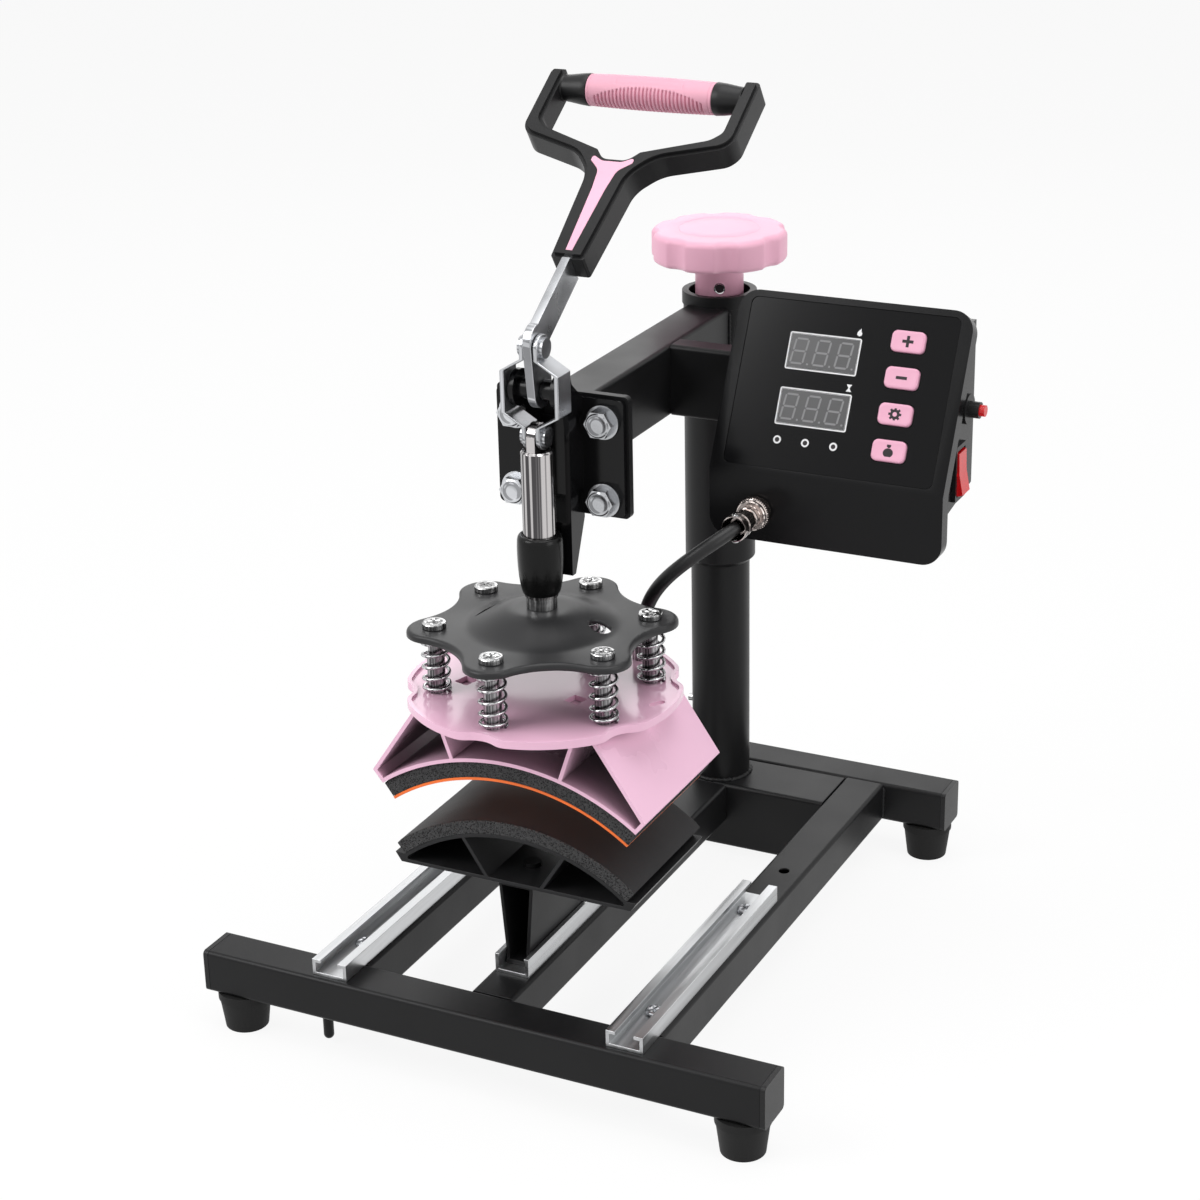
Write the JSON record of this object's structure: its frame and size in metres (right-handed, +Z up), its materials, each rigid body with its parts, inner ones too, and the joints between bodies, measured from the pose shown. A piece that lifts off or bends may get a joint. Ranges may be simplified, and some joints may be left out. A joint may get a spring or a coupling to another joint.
{
  "type": "combo heat press",
  "caption": "Swing-arm heat press with a curved cap platen, toggle lever, spring-loaded heated housing, height knob, slide-out lower platen and control box.",
  "frame": {"origin": "on the bench under the feet, on the axis of the post", "axes": "+X to the user's right, +Y to the back, +Z up"},
  "size_m": [0.3795, 0.3926, 0.5181],
  "materials": {
    "black_steel": "satin",
    "black_gloss_steel": "gloss",
    "black_housing": "satin",
    "black_moulding": "satin",
    "black_panel": "satin",
    "display_lens": "gloss",
    "lamp_lens": "gloss",
    "circuit": "satin",
    "black_rubber": "matte",
    "rail_aluminium": "satin",
    "zinc_steel": "bright zinc",
    "spring_steel": "bright",
    "chrome_rod": "polished",
    "plug_metal": "polished",
    "pink_moulding": "satin",
    "pink_grip": "satin",
    "pink_paint": "gloss",
    "black_aluminium": "anodised",
    "black_foam": "matte, open",
    "orange_silicone": "satin",
    "red_plastic": "gloss",
    "cable_black": "satin"
  },
  "bodies": {
    "base": {"cross_tubes": "black_steel", "side_tubes": "black_steel", "centre_tube": "black_steel", "post_seat_beam": "black_steel", "tube_end_caps": "black_moulding", "rubber_feet": "black_rubber", "side_rails": "rail_aluminium", "centre_rail": "rail_aluminium", "rail_screws": "zinc_steel", "locating_pin": "black_steel", "post": "black_steel", "post_nut": "zinc_steel", "post_stop_screw": "zinc_steel"},
    "lower_carriage": {"platen_stand": "black_steel", "lower_platen": "black_aluminium", "lower_foam": "black_foam", "stand_screws": "zinc_steel"},
    "lift": {"thrust_collar": "zinc_steel"},
    "knob": {"height_knob": "pink_moulding", "height_screw": "zinc_steel"},
    "arm": {"swing_sleeve": "black_steel", "arm_tube": "black_steel", "clamp_bracket": "black_gloss_steel", "guide_sleeve": "black_rubber", "bracket_bolts": "zinc_steel", "pivot_pin": "black_gloss_steel", "box_bracket": "black_steel", "control_housing": "black_housing", "control_bezel": "black_moulding", "label_panel": "black_panel", "display_windows": "display_lens", "indicator_lamps": "lamp_lens", "circuit_board": "circuit", "connector_socket": "plug_metal", "switch_fittings": "black_moulding", "mains_gland": "black_moulding", "cable_plug": "plug_metal", "heater_cable": "cable_black"},
    "plus_button": {"plus_key": "pink_moulding"},
    "minus_button": {"minus_key": "pink_moulding"},
    "set_button": {"set_key": "pink_moulding"},
    "mode_button": {"mode_key": "pink_moulding"},
    "rocker": {"rocker_switch": "red_plastic"},
    "reset_button": {"breaker_button": "red_plastic"},
    "lever": {"lever_bar": "zinc_steel", "handle_frame": "black_moulding", "handle_inlay": "pink_moulding", "grip_sleeve": "pink_grip"},
    "links": {"toggle_links": "zinc_steel", "link_rivets": "zinc_steel"},
    "plunger": {"plunger_rod": "chrome_rod", "plunger_nut": "zinc_steel", "star_plate": "black_gloss_steel"},
    "heat_platen": {"platen_screws": "zinc_steel", "platen_springs": "spring_steel", "heat_disc": "pink_paint", "heater_housing": "pink_paint", "upper_foam": "black_foam", "heater_sheet": "orange_silicone", "cable_gland": "zinc_steel"}
  },
  "joints": [
    {"name": "arm_lift", "type": "slide", "parent": "base", "child": "lift", "axis": [0, 0, 1], "range_m": [0, 0.024]},
    {"name": "knob_turn", "type": "hinge", "parent": "lift", "child": "knob", "pos_m": [0, 0, 0.4], "axis": [0, 0, 1], "range_deg": [0, 4320]},
    {"name": "arm_swing", "type": "hinge", "parent": "lift", "child": "arm", "pos_m": [0, 0, 0.285], "axis": [0, 0, 1], "range_deg": [-90, 90]},
    {"name": "lever_turn", "type": "hinge", "parent": "arm", "child": "lever", "pos_m": [0, -0.2368, 0.3775], "axis": [1, 0, 0], "range_deg": [0, 90]},
    {"name": "link_swing", "type": "hinge", "parent": "lever", "child": "links", "pos_m": [0, -0.2416, 0.40224], "axis": [1, 0, 0], "range_deg": [-66.2, 0]},
    {"name": "plunger_slide", "type": "slide", "parent": "arm", "child": "plunger", "axis": [0, 0, -1], "range_m": [0, 0.0254]},
    {"name": "platen_float", "type": "slide", "parent": "plunger", "child": "heat_platen", "axis": [0, 0, 1], "range_m": [0, 0.005], "stiffness_N_per_m": 9000, "springref_m": -0.006, "deforming": ["platen_springs"]},
    {"name": "lower_platen_slide", "type": "slide", "parent": "base", "child": "lower_carriage", "axis": [0, -1, 0], "range_m": [0, 0.03]},
    {"name": "plus_press", "type": "slide", "parent": "arm", "child": "plus_button", "axis": [0, 0.891, -0.454], "range_m": [0, 0.0008], "stiffness_N_per_m": 900, "springref_m": -0.0006},
    {"name": "minus_press", "type": "slide", "parent": "arm", "child": "minus_button", "axis": [0, 0.891, -0.454], "range_m": [0, 0.0008], "stiffness_N_per_m": 900, "springref_m": -0.0006},
    {"name": "set_press", "type": "slide", "parent": "arm", "child": "set_button", "axis": [0, 0.891, -0.454], "range_m": [0, 0.0008], "stiffness_N_per_m": 900, "springref_m": -0.0006},
    {"name": "mode_press", "type": "slide", "parent": "arm", "child": "mode_button", "axis": [0, 0.891, -0.454], "range_m": [0, 0.0008], "stiffness_N_per_m": 900, "springref_m": -0.0006},
    {"name": "rocker_tip", "type": "hinge", "parent": "arm", "child": "rocker", "pos_m": [0.192, -0.1085, 0.316], "axis": [0, 1, 0], "range_deg": [0, 12]},
    {"name": "reset_press", "type": "slide", "parent": "arm", "child": "reset_button", "axis": [-1, 0, 0], "range_m": [0, 0.002], "stiffness_N_per_m": 500, "springref_m": -0.002}
  ],
  "couplings": [
    {"joint": "knob_turn", "follows": "arm_lift", "rad_per_m": 3141.6},
    {"joint": "link_swing", "follows": "lever_turn", "ratio": -0.73379},
    {"joint": "plunger_slide", "follows": "lever_turn", "m_per_rad": 0.016112}
  ]
}
